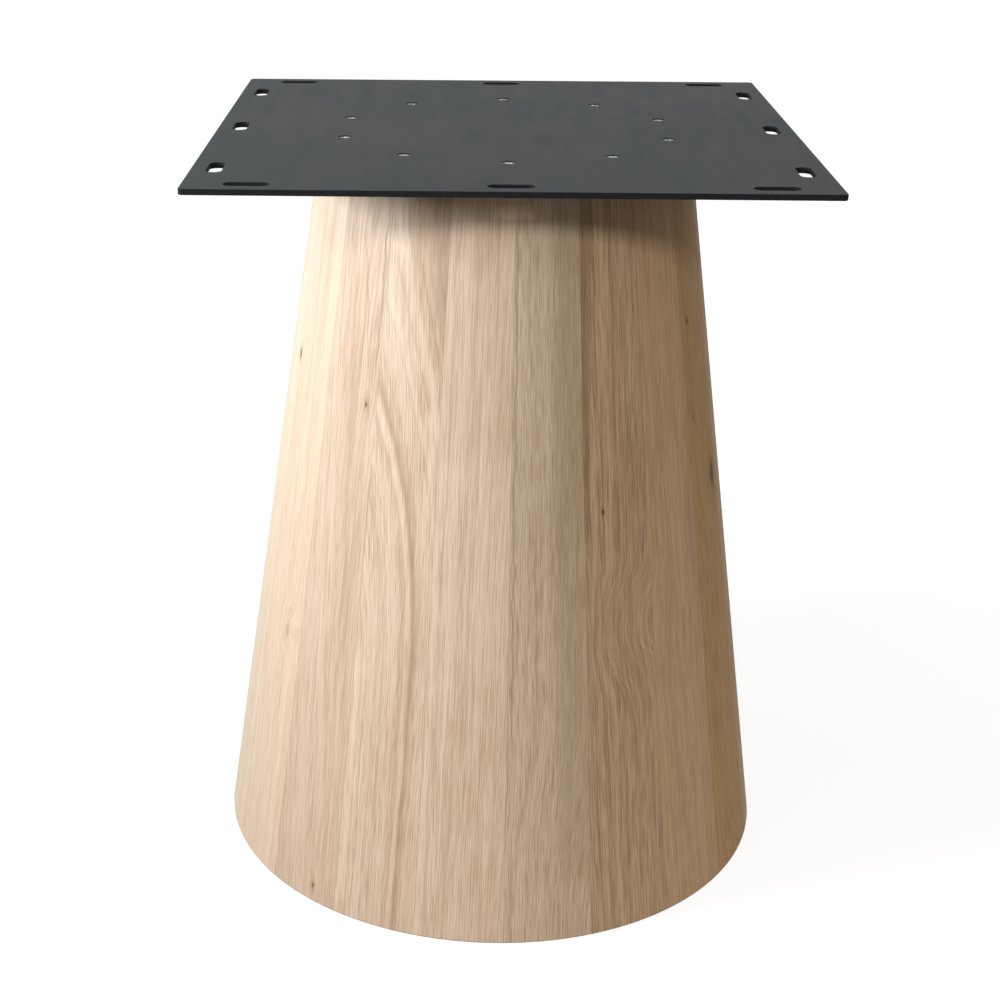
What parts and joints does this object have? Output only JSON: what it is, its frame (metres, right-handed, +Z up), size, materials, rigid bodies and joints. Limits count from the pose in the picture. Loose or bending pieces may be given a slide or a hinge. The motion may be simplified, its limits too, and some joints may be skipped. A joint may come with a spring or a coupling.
{
  "type": "conical table base",
  "caption": "Hollow cone of glued, tapered oak staves that stands on the floor, with a square black steel plate screwed on top, slotted round its edge to carry a table top.",
  "frame": {"origin": "on the floor at the cone's axis, which is the middle of the base's underside", "axes": "+Z up along the cone's axis, +X and +Y square to the plate's edges; -Y is the side that faces the picture"},
  "size_m": [0.5594, 0.5594, 0.715],
  "materials": {
    "oiled_oak": "matt oiled, fine straight grain",
    "black_powder_coat": "matt, finely textured",
    "zinc_plated_steel": "satin"
  },
  "bodies": {
    "root": {"top_plate": "black_powder_coat", "stave_01": "oiled_oak", "stave_02": "oiled_oak", "stave_03": "oiled_oak", "stave_04": "oiled_oak", "stave_05": "oiled_oak", "stave_06": "oiled_oak", "stave_07": "oiled_oak", "stave_08": "oiled_oak", "stave_09": "oiled_oak", "stave_10": "oiled_oak", "stave_11": "oiled_oak", "stave_12": "oiled_oak", "stave_13": "oiled_oak", "stave_14": "oiled_oak", "stave_15": "oiled_oak", "stave_16": "oiled_oak", "stave_17": "oiled_oak", "stave_18": "oiled_oak", "stave_19": "oiled_oak", "stave_20": "oiled_oak", "plate_screw_01": "zinc_plated_steel", "plate_screw_02": "zinc_plated_steel", "plate_screw_03": "zinc_plated_steel", "plate_screw_04": "zinc_plated_steel", "plate_screw_05": "zinc_plated_steel", "plate_screw_06": "zinc_plated_steel", "plate_screw_07": "zinc_plated_steel", "plate_screw_08": "zinc_plated_steel", "plate_screw_09": "zinc_plated_steel", "plate_screw_10": "zinc_plated_steel"}
  },
  "joints": []
}
